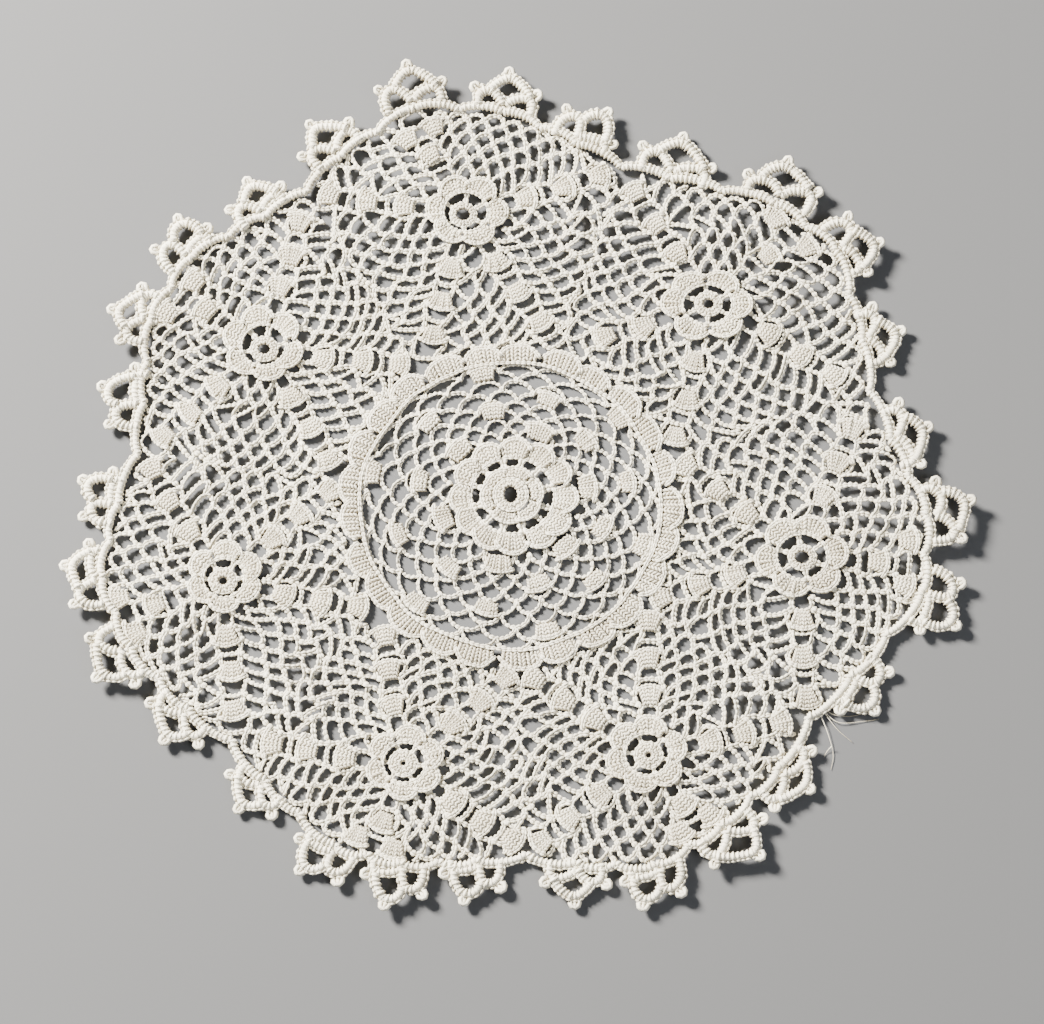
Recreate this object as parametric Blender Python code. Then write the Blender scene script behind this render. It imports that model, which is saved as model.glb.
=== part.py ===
"""A round crochet doily in cream cotton, lying flat with its right side up.

It is nine pieces: a centre medallion with a layered rose, seven outer medallions around it, and the
edging of crowns that runs round them all. Sizes are in millimetres and are turned into metres when a
mesh is made. The origin is the middle of the doily's outline on the surface it lies on, +Z is up and
+Y points away from the front edge. Angles are in degrees, anticlockwise from +X.
"""

import math
from collections import namedtuple

import bmesh
import bpy
from mathutils import Matrix, Vector

METRES = 0.001  # one millimetre
WELD = 0.001  # points nearer than this are one point
SHARPEST = 0.4  # the sharpest corner that an inset outline still reaches into

# Driving sizes
GAP = 0.3  # between two pieces
SHEET = 1.6  # the net and the ground under the raised work
CORD = 2.4  # the filled cord of the edging
STRAND = 1.9  # a bar between two gaps of the net
EDGE_LINE = 3.0  # width of the filled cord that the crowns stand on
JUNCTION_DIP = 2.2  # how far it dips where two medallions meet
HEART = (-3.2, -11.6)  # middle of the scalloped band
HEART_ROSE = (-3.7, -9.1)  # the centre rose lies a little off the band's middle
BAND_IN = 46.0  # radius of the scalloped band's inner edge
BAND_VALLEY = 50.6  # its outer edge between two scallops
BAND_OUT = 52.3  # its outer edge at the middle of a scallop
SCALLOPS = 25

# Raised work: its size outwards and across, its top above the underside, the sides of its foot and
# how much wider its outer end is.
Pad = namedtuple("Pad", "length width top sides flare")
SCALLOP = Pad(4.6, 10.6, 2.7, 4, -0.05)
SHELL = Pad(5.6, 6.4, 3.0, 4, 0.15)
SMALL_EYE = Pad(8.0, 8.0, 3.3, 6, 0.0)
OUTER_PETAL = Pad(7.8, 7.2, 4.4, 6, 0.08)
INNER_PETAL = Pad(6.6, 5.6, 6.0, 6, 0.08)
PAD_CROWN = 0.62  # a pad's top as a share of its foot
PAD_FOOT = 0.64  # height of a pad's foot, inside the sheet

# The centre rose: petals and the distance of their middles from its own
OUTER_PETALS = 12
OUTER_PETALS_AT = 17.0
INNER_PETALS = 6
INNER_PETALS_AT = 6.9
EYE_RADIUS = 2.1

# A small rose: its petals' place, length and width are shares of its radius
SMALL_PETALS = 6
SMALL_PETALS_AT = 0.74
SMALL_PETAL_LENGTH = 0.47
SMALL_PETAL_WIDTH = 0.68
SMALL_PETAL_TOP = 3.9

# The five arms of an outer medallion run from its rose to its corners
ARM_HALF = 4.3  # half the width of the filled arm under a row of shells
ARM_SHELLS = (0.17, 0.46, 0.74)  # places of an arm's shells between the rose's rim and the corner
TOP_SHELL = 0.38  # the arm under the edging has one shell and then a pair
TOP_PAIR_IN = 5.2
TOP_PAIR_APART = 8.8
TOP_PAIR_SPLAY = 10

# The net: rows between a rose and each side of its medallion, and its bars at the rose's rim
WEDGES = ((3, 1), (3, 1), (4, 1), (3, 1), (4, 1))
CENTRE_BARS = 18  # gaps in each round of the centre net
CENTRE_ROUNDS = 5
CENTRE_RIM = 20.5  # where the centre net starts
FIRST_SHELL = 73.0  # the way to the first shell of the innermost round

# The outer medallions, clockwise from the one at the back: where each rose lies, from the middle of
# the band, and its radius over the petals.
Rose = namedtuple("Rose", "name angle distance radius")
ROSES = (
    Rose("back_medallion", 98.4, 97.7, 13.2),
    Rose("back_right_medallion", 47.0, 92.3, 13.9),
    Rose("right_medallion", -10.5, 90.2, 14.4),
    Rose("front_right_medallion", -62.0, 89.8, 12.8),
    Rose("front_left_medallion", -110.8, 88.2, 13.0),
    Rose("left_medallion", -164.3, 90.4, 12.3),
    Rose("back_left_medallion", 146.5, 92.0, 13.5),
)

# The crowns of the edging, four to a medallion and in the same order. The foot is the middle of a
# crown's root on the edge line. A crown turns anticlockwise by its lean, and its underside rises to
# its lift at the crown's tip.
Crown = namedtuple("Crown", "angle distance lean height width lift")
CROWNS = (
    Crown(115, 129, 19, 14.7, 17.7, 1.2),
    Crown(103, 137, 0, 15.4, 19.8, 2.4),
    Crown(91, 133, -5, 13.6, 19.4, 0.8),
    Crown(80, 123, -23, 14.6, 18.9, 1.9),
    Crown(65, 121, 9, 14.9, 22.6, 0.3),
    Crown(50, 131, 16, 15.5, 21.6, 1.6),
    Crown(39, 133, -20, 13.7, 19.4, 2.2),
    Crown(26, 123, -7, 12.3, 18.2, 0.5),
    Crown(10, 120, 10, 11.9, 20.2, 1.4),
    Crown(-2, 128, 15, 14.8, 18.2, 2.6),
    Crown(-13, 129, -22, 14.1, 19.6, 0.9),
    Crown(-28, 117, -18, 12.2, 19.0, 0.0),
    Crown(-46, 116, 6, 10.9, 19.2, 0.4),
    Crown(-58, 119, 16, 14.6, 18.8, 1.7),
    Crown(-69, 121, -28, 12.2, 16.8, 1.0),
    Crown(-80, 114, -8, 11.6, 16.9, 0.0),
    Crown(-95, 112, -2, 11.9, 16.5, 0.7),
    Crown(-106, 117, 3, 13.2, 17.0, 1.5),
    Crown(-116, 119, -16, 11.8, 16.8, 0.3),
    Crown(-130, 114, 0, 10.8, 16.4, 0.0),
    Crown(-146, 117, 20, 11.2, 18.1, 0.8),
    Crown(-158, 124, 16, 13.4, 18.5, 2.0),
    Crown(-169, 127, -20, 11.4, 19.4, 1.1),
    Crown(180, 121, -25, 12.9, 16.4, 0.2),
    Crown(164, 119, 1, 13.7, 19.7, 0.9),
    Crown(152, 128, 12, 12.2, 17.6, 2.1),
    Crown(141, 130, -21, 13.5, 17.9, 1.3),
    Crown(129, 124, -9, 12.9, 16.9, 0.6),
)

# Soft swells where the net doesn't lie quite flat
Swell = namedtuple("Swell", "angle distance reach height")
SWELLS = (
    Swell(72, 96, 22, 1.1),
    Swell(18, 88, 20, 0.8),
    Swell(-36, 92, 24, 1.3),
    Swell(-88, 86, 18, 0.7),
    Swell(-137, 90, 22, 1.0),
    Swell(172, 94, 20, 1.2),
    Swell(121, 98, 22, 0.9),
)
FLAT_TO = 72.0  # the work lies flat on the table out to this distance
RIM_AT = 140.0  # and reaches a crown's full lift here

CREAM = (0.86, 0.82, 0.72, 1.0)
LIGHT_CREAM = (0.89, 0.86, 0.77, 1.0)
EDGE_CREAM = (0.83, 0.79, 0.69, 1.0)
COTTON_ROUGHNESS = 0.9


# ------------------------------------------------------------------ plane geometry


def polar(centre, angle, distance):
    turn = math.radians(angle)
    return (centre[0] + distance * math.cos(turn), centre[1] + distance * math.sin(turn))


def blend(p, q, share):
    return tuple(a + (b - a) * share for a, b in zip(p, q))


def direction(p, q):
    return math.degrees(math.atan2(q[1] - p[1], q[0] - p[0]))


def turn_between(start, end):
    """The shorter turn from one angle to another."""
    return (end - start + 180) % 360 - 180


def smooth(share):
    share = min(max(share, 0.0), 1.0)
    return share * share * (3 - 2 * share)


def area(points):
    pairs = zip(points, points[1:] + points[:1])
    return sum(p[0] * q[1] - q[0] * p[1] for p, q in pairs) / 2


def inset(points, distance):
    """The outline moved inwards by distance, where each of its sides stays parallel to itself."""
    side = 1 if area(points) > 0 else -1
    moved = []
    for before, here, after in zip(points[-1:] + points[:-1], points, points[1:] + points[:1]):
        one = Vector((here[0] - before[0], here[1] - before[1])).normalized()
        two = Vector((after[0] - here[0], after[1] - here[1])).normalized()
        normal_one = Vector((-one.y, one.x)) * side
        normal_two = Vector((-two.y, two.x)) * side
        middle = normal_one + normal_two
        reach = distance / max(middle.dot(normal_one), SHARPEST)
        moved.append((here[0] + middle.x * reach, here[1] + middle.y * reach))
    return moved


def along(path, share):
    """The point at this share of a path's length."""
    lengths = [math.dist(p, q) for p, q in zip(path, path[1:])]
    left = share * sum(lengths)
    for p, q, length in zip(path, path[1:], lengths):
        if left <= length:
            return blend(p, q, left / length)
        left -= length
    return path[-1]


# ------------------------------------------------------------------ how the doily lies


def crown_lift(angle):
    """The lift of the rim at this angle, from the crowns on either side of it."""
    for crown, following in zip(CROWNS, CROWNS[1:] + CROWNS[:1]):
        step = turn_between(crown.angle, following.angle)
        turn = turn_between(crown.angle, angle)
        if step <= turn <= 0:
            return crown.lift + (following.lift - crown.lift) * smooth(turn / step)
    return 0.0


def lift(x, y):
    """How far the underside is above the table."""
    distance = math.dist((x, y), HEART)
    rise = crown_lift(direction(HEART, (x, y))) * smooth((distance - FLAT_TO) / (RIM_AT - FLAT_TO))
    for swell in SWELLS:
        apart = math.dist((x, y), polar(HEART, swell.angle, swell.distance))
        rise += swell.height * smooth(1 - apart / swell.reach)
    return rise


# ------------------------------------------------------------------ layout


def foot(index):
    """The middle of a crown's root on the edge line."""
    crown = CROWNS[index % len(CROWNS)]
    return polar(HEART, crown.angle, crown.distance)


def edge_facing(index):
    """The way out across the edge line at a crown's foot."""
    return direction(foot(index - 1), foot(index + 1)) + 90


def edge_knot(half, out):
    """A point of the edge line moved outwards: a crown's foot where half is even, and half way to
    the next foot where it is odd, which dips inwards between two medallions."""
    if half % 2 == 0:
        return polar(foot(half // 2), edge_facing(half // 2), out)
    middle = blend(edge_knot(half - 1, out), edge_knot(half + 1, out), 0.5)
    dip = JUNCTION_DIP if half % 8 == 7 else 0.0
    return polar(middle, direction(middle, HEART), dip)


def edge_point(index, out):
    """A point of the edge line moved outwards. Whole numbers are the crowns' feet."""
    half = math.floor(2 * index)
    return blend(edge_knot(half, out), edge_knot(half + 1, out), 2 * index - half)


def medallion_sides(index):
    """The five sides of an outer medallion, each a path: two under the edging and, clockwise, one
    to the next medallion, one on the band and one to the medallion before."""
    first = 4 * index
    under = -EDGE_LINE / 2 - GAP / 2
    roof = [edge_knot(2 * first + half, under) for half in (-1, 0, 2, 3, 4, 6, 7)]
    band = BAND_OUT + GAP
    start = direction(HEART, roof[-1])
    turn = turn_between(start, direction(HEART, roof[0]))
    arc = [polar(HEART, start + turn * step / 8, band) for step in range(9)]
    return roof[:4], roof[3:], [roof[-1], arc[0]], arc, [arc[-1], roof[0]]


# ------------------------------------------------------------------ gaps of the net

def wedge_gaps(rim, side, rows, rim_bars):
    """Diamond gaps between a rose's rim and one side of its medallion. Each row of the net has one
    bar more than the row inside it."""

    def knot(row, number):
        bars = rim_bars + row
        share = number / bars if bars else 0.5
        return blend(rim(share), side(share), row / rows)

    for row in range(1, rows):
        for number in range(rim_bars + row):
            corners = [
                knot(row - 1, number),
                knot(row, number),
                knot(row + 1, number + 1),
                knot(row, number + 1),
            ]
            yield inset(corners, STRAND / 2)


def rose_centre(index):
    return polar(HEART, ROSES[index].angle, ROSES[index].distance)


def medallion_gaps(index):
    """The gaps of all five wedges between the arms of an outer medallion."""
    rose = rose_centre(index)
    radius = ROSES[index].radius
    keep = math.degrees(math.asin(ARM_HALF / radius))
    gaps = []
    for path, (rows, rim_bars) in zip(medallion_sides(index), WEDGES):
        start = direction(rose, path[0]) - keep
        turn = turn_between(direction(rose, path[0]), direction(rose, path[-1])) + 2 * keep
        margin = ARM_HALF / sum(math.dist(p, q) for p, q in zip(path, path[1:]))
        gaps += wedge_gaps(
            lambda share: polar(rose, start + turn * share, radius),
            lambda share: along(path, margin + (1 - 2 * margin) * share),
            rows,
            rim_bars,
        )
    return gaps


def centre_point(row, angle):
    """A point of the centre net. Its rounds move from the rose's middle to the band's."""
    share = row / CENTRE_ROUNDS
    radius = CENTRE_RIM + (BAND_IN - CENTRE_RIM) * share
    return polar(blend(HEART_ROSE, HEART, share), angle, radius)


def centre_cells():
    """(row, angle, whether a shell fills it) of each diamond of the centre net. Every third one of
    a round is filled, and those of the next round lie half way between."""
    step = 360 / CENTRE_BARS
    for row in range(1, CENTRE_ROUNDS):
        half = (row + 1) % 2
        for number in range(CENTRE_BARS):
            yield row, FIRST_SHELL - step * (number + half / 2), number % 3 == half


def centre_gaps():
    """The rose's eye and the gaps of the net's outer three rounds. Its innermost are under 4 mm."""
    yield [polar(HEART_ROSE, 60 * corner, EYE_RADIUS) for corner in range(6)]
    half = 180 / CENTRE_BARS
    for row, angle, filled in centre_cells():
        if row > 1 and not filled:
            corners = [
                centre_point(row - 1, angle),
                centre_point(row, angle - half),
                centre_point(row + 1, angle),
                centre_point(row, angle + half),
            ]
            yield inset(corners, STRAND / 2)


# ------------------------------------------------------------------ making solids


def cotton(name, colour):
    material = bpy.data.materials.new(name)
    material.use_nodes = True
    surface = material.node_tree.nodes["Principled BSDF"]
    surface.inputs["Base Color"].default_value = colour
    surface.inputs["Roughness"].default_value = COTTON_ROUGHNESS
    surface.inputs["Metallic"].default_value = 0.0
    return material


def flat_sheet(outline, gaps, thickness):
    """A mesh of this outline with its gaps cut through, from a filled 2D curve."""
    curve = bpy.data.curves.new("outline", "CURVE")
    curve.dimensions = "2D"
    curve.fill_mode = "BOTH"
    curve.extrude = thickness / 2
    for loop in [outline, *gaps]:
        spline = curve.splines.new("POLY")
        spline.points.add(len(loop) - 1)
        spline.use_cyclic_u = True
        for point, (x, y) in zip(spline.points, loop):
            point.co = (x, y, 0.0, 1.0)
    guide = bpy.data.objects.new("outline", curve)
    bpy.context.scene.collection.objects.link(guide)
    guide.location.z = thickness / 2
    bpy.context.view_layer.update()
    mesh = bpy.data.meshes.new_from_object(guide.evaluated_get(bpy.context.evaluated_depsgraph_get()))
    mesh.transform(guide.matrix_world)
    bpy.data.objects.remove(guide)
    bpy.data.curves.remove(curve)
    cage = bmesh.new()
    cage.from_mesh(mesh)
    bmesh.ops.remove_doubles(cage, verts=cage.verts, dist=WELD)
    bmesh.ops.recalc_face_normals(cage, faces=cage.faces)
    cage.to_mesh(mesh)
    cage.free()
    return mesh


def raise_pad(cage, pad, centre, facing):
    """Adds a raised lump with its foot inside the sheet and its length along its facing."""
    turn = math.radians(facing)
    made = bmesh.ops.create_cone(
        cage,
        cap_ends=True,
        segments=pad.sides,
        radius1=1.0,
        radius2=PAD_CROWN,
        depth=pad.top - PAD_FOOT,
        matrix=Matrix.Translation((0, 0, (pad.top + PAD_FOOT) / 2))
        @ Matrix.Rotation(math.pi / pad.sides, 4, "Z"),
    )
    fit = 1 / math.cos(math.pi / pad.sides)
    for vertex in made["verts"]:
        out = vertex.co.x * fit * pad.length / 2
        across = vertex.co.y * fit * pad.width / 2 * (1 + pad.flare * vertex.co.x)
        vertex.co.x = centre[0] + out * math.cos(turn) - across * math.sin(turn)
        vertex.co.y = centre[1] + out * math.sin(turn) + across * math.cos(turn)


def petal_ring(cage, pad, centre, petals, distance, first):
    for petal in range(petals):
        facing = first + petal * 360 / petals
        raise_pad(cage, pad, polar(centre, facing, distance), facing)


def make_node(name, sheet, pads, colour):
    """Joins the raised pads to the sheet, lays it as the doily lies and turns it into metres."""
    node = bpy.data.objects.new(name, sheet)
    doily.objects.link(node)
    if pads:
        lumps = bpy.data.meshes.new(name + "_pads")
        pads.to_mesh(lumps)
        pads.free()
        cutter = bpy.data.objects.new(name + "_pads", lumps)
        cutter.hide_render = True
        cutter.display_type = "WIRE"
        cutters.objects.link(cutter)
        union = node.modifiers.new("raised work", "BOOLEAN")
        union.operation = "UNION"
        union.object = cutter
        union.use_self = True  # some pads overlap their neighbours
        bpy.context.view_layer.update()
        joined = bpy.data.meshes.new_from_object(
            node.evaluated_get(bpy.context.evaluated_depsgraph_get())
        )
        node.modifiers.clear()
        node.data = joined
        bpy.data.objects.remove(cutter)
    cage = bmesh.new()
    cage.from_mesh(node.data)
    bmesh.ops.dissolve_limit(cage, angle_limit=0.001, verts=cage.verts, edges=cage.edges)
    bmesh.ops.triangulate(cage, faces=cage.faces)
    for vertex in cage.verts:
        x, y, z = vertex.co
        vertex.co = Vector((x, y, z + lift(x, y))) * METRES
    cage.to_mesh(node.data)
    cage.free()
    node.data.materials.clear()
    node.data.materials.append(cotton(name + "_cotton", colour))
    return node


# ------------------------------------------------------------------ the nine pieces


def small_rose(cage, centre, radius, first):
    petal = Pad(radius * SMALL_PETAL_LENGTH, radius * SMALL_PETAL_WIDTH, SMALL_PETAL_TOP, 6, 0.08)
    raise_pad(cage, SMALL_EYE, centre, first)
    petal_ring(cage, petal, centre, SMALL_PETALS, radius * SMALL_PETALS_AT, first)


def outer_medallion(index):
    rose = rose_centre(index)
    radius = ROSES[index].radius
    sides = medallion_sides(index)
    outline = [point for side in sides for point in side[:-1]]
    sheet = flat_sheet(inset(outline, GAP / 2), medallion_gaps(index), SHEET)
    pads = bmesh.new()
    small_rose(pads, rose, radius, ROSES[index].angle + 30)
    for number, side in enumerate(sides):
        facing = direction(rose, side[0])
        rim = polar(rose, facing, radius)
        for share in (TOP_SHELL,) if number == 1 else ARM_SHELLS:
            raise_pad(pads, SHELL, blend(rim, side[0], share), facing)
    top = sides[1][0]
    facing = direction(rose, top)
    for hand in (-1, 1):
        middle = polar(polar(top, facing, -TOP_PAIR_IN), facing + 90 * hand, TOP_PAIR_APART / 2)
        raise_pad(pads, SHELL, middle, facing + TOP_PAIR_SPLAY * hand)
    return make_node(ROSES[index].name, sheet, pads, CREAM)


SCALLOP_OUTLINE = (
    # share of a scallop's turn, distance out
    (-0.3, BAND_OUT - 0.3),
    (0.0, BAND_OUT),
    (0.3, BAND_OUT - 0.3),
    (0.5, BAND_VALLEY),
)


def centre_medallion():
    step = 360 / SCALLOPS
    outline = [
        polar(HEART, step * (scallop + share), out)
        for scallop in range(SCALLOPS)
        for share, out in SCALLOP_OUTLINE
    ]
    sheet = flat_sheet(outline, list(centre_gaps()), SHEET)
    pads = bmesh.new()
    petal_ring(pads, SCALLOP, HEART, SCALLOPS, (BAND_IN + BAND_OUT) / 2, 0)
    petal_ring(pads, OUTER_PETAL, HEART_ROSE, OUTER_PETALS, OUTER_PETALS_AT, 0)
    petal_ring(pads, INNER_PETAL, HEART_ROSE, INNER_PETALS, INNER_PETALS_AT, 15)
    for row, angle, filled in centre_cells():
        if filled:
            raise_pad(pads, SHELL, centre_point(row, angle), angle)
    return make_node("centre_medallion", sheet, pads, LIGHT_CREAM)


CROWN_TURNED_AT = 0.5  # share of a crown's height at which it has its full lean


def crown_point(index, across, up):
    """A point of a crown, by its shares of the crown's width and height. Its root lies along the
    edge line, and the crown turns to its lean above that."""
    crown = CROWNS[index]
    root_facing = edge_facing(index)
    turned = turn_between(root_facing, crown.angle + crown.lean) * smooth(up / CROWN_TURNED_AT)
    facing = root_facing + turned
    middle = polar(foot(index), facing, up * crown.height)
    return polar(middle, facing - 90, across * crown.width)


CROWN_ROOT = 0.43  # half of a crown's root, as a share of its width
CROWN_OUTLINE = (
    # across, up: from the left over the three picots to the right
    (-0.46, 0.30),
    (-0.52, 0.56),
    (-0.36, 0.62),
    (-0.10, 0.90),
    (0.00, 1.01),
    (0.10, 0.90),
    (0.36, 0.62),
    (0.52, 0.56),
    (0.46, 0.30),
)
CROWN_GAP = ((-0.17, 0.52), (0.0, 0.40), (0.17, 0.52), (0.0, 0.72))


def root_point(index, side):
    """Where a crown's outline meets the outer side of the edge line, -1 for left and 1 for right."""
    reach = CROWN_ROOT * CROWNS[index].width / math.dist(foot(index), foot(index + side))
    return edge_point(index + side * reach, EDGE_LINE / 2)


def edging():
    outline = []
    inner = []
    gaps = []
    for index in range(len(CROWNS)):
        outline.append(root_point(index, -1))
        outline += [crown_point(index, across, up) for across, up in CROWN_OUTLINE]
        outline.append(root_point(index, 1))
        inner.append(edge_knot(2 * index, -EDGE_LINE / 2))
        if index % 4 == 3:
            outline.append(edge_knot(2 * index + 1, EDGE_LINE / 2))
            inner.append(edge_knot(2 * index + 1, -EDGE_LINE / 2))
        gaps.append([crown_point(index, across, up) for across, up in CROWN_GAP])
    sheet = flat_sheet(outline, [inner, *gaps], CORD)
    return make_node("edging", sheet, None, EDGE_CREAM)


for leftover in list(bpy.data.objects):
    bpy.data.objects.remove(leftover)
doily = bpy.data.collections.new("lace_doily")
cutters = bpy.data.collections.new("cutters")
for collection in (doily, cutters):
    bpy.context.scene.collection.children.link(collection)

centre_medallion()
for medallion in range(len(ROSES)):
    outer_medallion(medallion)
edging()
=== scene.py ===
"""The looks of a round crochet doily in cream cotton, laid out stitch by stitch on its solids.

Plan sizes are in millimetres, with a place written as the complex number x + iy, and turn into
metres when a mesh is made. Angles are in degrees, anticlockwise from +X. A height is above the
underside of the work, which itself lies lift(place) above the table.
"""

import math
from collections import namedtuple

import bpy
import numpy as np
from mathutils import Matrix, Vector


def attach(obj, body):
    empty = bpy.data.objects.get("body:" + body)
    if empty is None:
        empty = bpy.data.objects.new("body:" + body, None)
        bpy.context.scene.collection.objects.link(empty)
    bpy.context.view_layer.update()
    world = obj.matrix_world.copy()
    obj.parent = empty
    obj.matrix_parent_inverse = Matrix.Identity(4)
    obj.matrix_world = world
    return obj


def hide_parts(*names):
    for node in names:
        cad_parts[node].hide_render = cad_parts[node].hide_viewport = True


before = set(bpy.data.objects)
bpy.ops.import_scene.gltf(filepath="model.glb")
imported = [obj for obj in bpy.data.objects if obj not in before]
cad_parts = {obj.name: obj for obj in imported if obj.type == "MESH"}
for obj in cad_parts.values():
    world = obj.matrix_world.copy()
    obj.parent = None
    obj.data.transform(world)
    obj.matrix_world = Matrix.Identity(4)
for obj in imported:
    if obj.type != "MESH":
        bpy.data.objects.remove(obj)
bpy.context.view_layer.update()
random = np.random.default_rng(7)

# -------------------- sizes shared with the solids

HEART = complex(-3.2, -11.6)  # middle of the scalloped band
HEART_ROSE = complex(-3.7, -9.1)  # the centre rose lies a little off it
BAND_IN = 46.0  # where the band starts and ends
BAND_OUT = 52.3
BAND_NOTCH = 3.0  # how far the ends of a scallop fall back
SCALLOPS = 25
EDGE_LINE = 3.0  # width of the filled cord that the crowns stand on
CROWNS_EACH = 4  # crowns on the edge of an outer medallion
JUNCTION_DIP = 2.2  # how far the edge falls back where two medallions meet
CROWN_TURNED_AT = 0.5  # share of its height above which a crown has its own facing
FLAT_TO = 72.0  # the work lies flat as far out as this, and
RIM_AT = 140.0  # here it is off the table by its crowns' lift

Rose = namedtuple("Rose", "name angle distance")
ROSES = (
    Rose("back_medallion", 98.4, 97.7),
    Rose("back_right_medallion", 47.0, 92.3),
    Rose("right_medallion", -10.5, 90.2),
    Rose("front_right_medallion", -62.0, 89.8),
    Rose("front_left_medallion", -110.8, 88.2),
    Rose("left_medallion", -164.3, 90.4),
    Rose("back_left_medallion", 146.5, 92.0),
)

# How each rose is drawn out of round: the middles of its petals and its ring, half the width and
# depth of its petals, the facing of the first, its hole's width, and how coarse its net is
Look = namedtuple("Look", "petals ring wide deep first hole coarse")
LOOKS = (
    Look(0.6 + 1.1j, -0.6 - 0.3j, 12.6, 11.9, -3, 2.1, 1.04),
    Look(-1.2 - 2.0j, -0.6 - 1.5j, 13.9, 11.8, 0, 1.7, 1.08),
    Look(0.5 - 0.6j, 0.7 - 0.9j, 13.8, 12.9, 6, 2.1, 1.03),
    Look(-1.3 + 0.4j, -0.6 + 0.1j, 11.9, 11.5, 20, 0.9, 0.96),
    Look(0.1 + 1.0j, -0.4 + 0.8j, 11.4, 11.1, 22, 0.8, 0.93),
    Look(0.1 + 1.0j, -0.3 - 0.4j, 11.3, 11.1, 30, 1.4, 1.00),
    Look(-0.5 + 1.9j, -0.1 + 0.0j, 12.4, 12.2, 41, 1.8, 1.00),
)

# The forms in which crowns lie: the paths of the three filled arches, and the places and facings of
# the picots. Places are shares of a crown's width and height.
Form = namedtuple("Form", "left right upper picots")
TENT = Form(
    left=(
        (-0.43, -0.04), (-0.45, 0.22), (-0.40, 0.42),
        (-0.27, 0.49), (-0.12, 0.34), (-0.01, 0.12),
    ),
    right=((0.01, 0.12), (0.12, 0.27), (0.26, 0.33), (0.39, 0.35), (0.47, 0.22), (0.46, -0.04)),
    upper=(
        (-0.26, 0.50), (-0.17, 0.67), (-0.04, 0.81), (0.07, 0.82),
        (0.21, 0.69), (0.35, 0.50), (0.44, 0.34),
    ),
    picots=((-0.43, 0.45, 145), (0.02, 0.84, 92), (0.46, 0.36, 32)),
)
WINDOW = Form(
    left=(
        (-0.42, -0.03), (-0.43, 0.26), (-0.36, 0.46),
        (-0.21, 0.51), (-0.09, 0.34), (-0.04, 0.08),
    ),
    right=((-0.02, 0.11), (0.12, 0.20), (0.28, 0.24), (0.41, 0.27), (0.47, 0.16), (0.46, -0.04)),
    upper=(
        (-0.13, 0.50), (-0.10, 0.69), (0.02, 0.82), (0.17, 0.81),
        (0.30, 0.64), (0.38, 0.42), (0.40, 0.28),
    ),
    picots=((-0.40, 0.48, 150), (0.10, 0.84, 82), (0.46, 0.28, 28)),
)
SLITS = Form(
    left=(
        (-0.45, -0.02), (-0.48, 0.16), (-0.40, 0.31),
        (-0.22, 0.37), (-0.07, 0.30), (0.02, 0.16),
    ),
    right=((0.02, 0.16), (0.12, 0.34), (0.26, 0.43), (0.40, 0.47), (0.48, 0.32), (0.46, 0.0)),
    upper=((-0.34, 0.40), (-0.25, 0.61), (-0.09, 0.79), (0.06, 0.80), (0.24, 0.69), (0.41, 0.53)),
    picots=((-0.46, 0.30, 160), (-0.02, 0.83, 95), (0.46, 0.48, 35)),
)

# sway is how far a crown's upper arch sits to the right, as a share of its width
Crown = namedtuple("Crown", "angle distance lean height width lift sway form")
CROWNS = (
    Crown(115, 129, 19, 14.7, 17.7, 1.2, 0.00, TENT),
    Crown(103, 137, 0, 15.4, 19.8, 2.4, 0.02, TENT),
    Crown(91, 133, -5, 13.6, 19.4, 0.8, 0.04, TENT),
    Crown(80, 123, -23, 14.6, 18.9, 1.9, 0.03, WINDOW),
    Crown(65, 121, 9, 14.9, 22.6, 0.3, 0.00, TENT),
    Crown(50, 131, 16, 15.5, 21.6, 1.6, -0.05, SLITS),
    Crown(39, 133, -20, 13.7, 19.4, 2.2, 0.09, TENT),
    Crown(26, 123, -7, 12.3, 18.2, 0.5, 0.05, TENT),
    Crown(10, 120, 10, 11.9, 20.2, 1.4, 0.00, TENT),
    Crown(-2, 128, 15, 14.8, 18.2, 2.6, -0.06, SLITS),
    Crown(-13, 129, -22, 14.1, 19.6, 0.9, 0.04, WINDOW),
    Crown(-28, 117, -18, 12.2, 19.0, 0.0, 0.03, WINDOW),
    Crown(-46, 116, 6, 10.9, 19.2, 0.4, -0.02, SLITS),
    Crown(-58, 119, 16, 14.6, 18.8, 1.7, -0.05, TENT),
    Crown(-69, 121, -28, 12.2, 16.8, 1.0, 0.04, WINDOW),
    Crown(-80, 114, -8, 11.6, 16.9, 0.0, 0.04, TENT),
    Crown(-95, 112, -2, 11.9, 16.5, 0.7, 0.01, WINDOW),
    Crown(-106, 117, 3, 13.2, 17.0, 1.5, -0.02, WINDOW),
    Crown(-116, 119, -16, 11.8, 16.8, 0.3, 0.03, WINDOW),
    Crown(-130, 114, 0, 10.8, 16.4, 0.0, 0.00, TENT),
    Crown(-146, 117, 20, 11.2, 18.1, 0.8, -0.04, TENT),
    Crown(-158, 124, 16, 13.4, 18.5, 2.0, -0.06, SLITS),
    Crown(-169, 127, -20, 11.4, 19.4, 1.1, 0.10, TENT),
    Crown(180, 121, -25, 12.9, 16.4, 0.2, 0.03, WINDOW),
    Crown(164, 119, 1, 13.7, 19.7, 0.9, -0.02, WINDOW),
    Crown(152, 128, 12, 12.2, 17.6, 2.1, -0.02, TENT),
    Crown(141, 130, -21, 13.5, 17.9, 1.3, 0.04, WINDOW),
    Crown(129, 124, -9, 12.9, 16.9, 0.6, 0.03, TENT),
)

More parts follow.
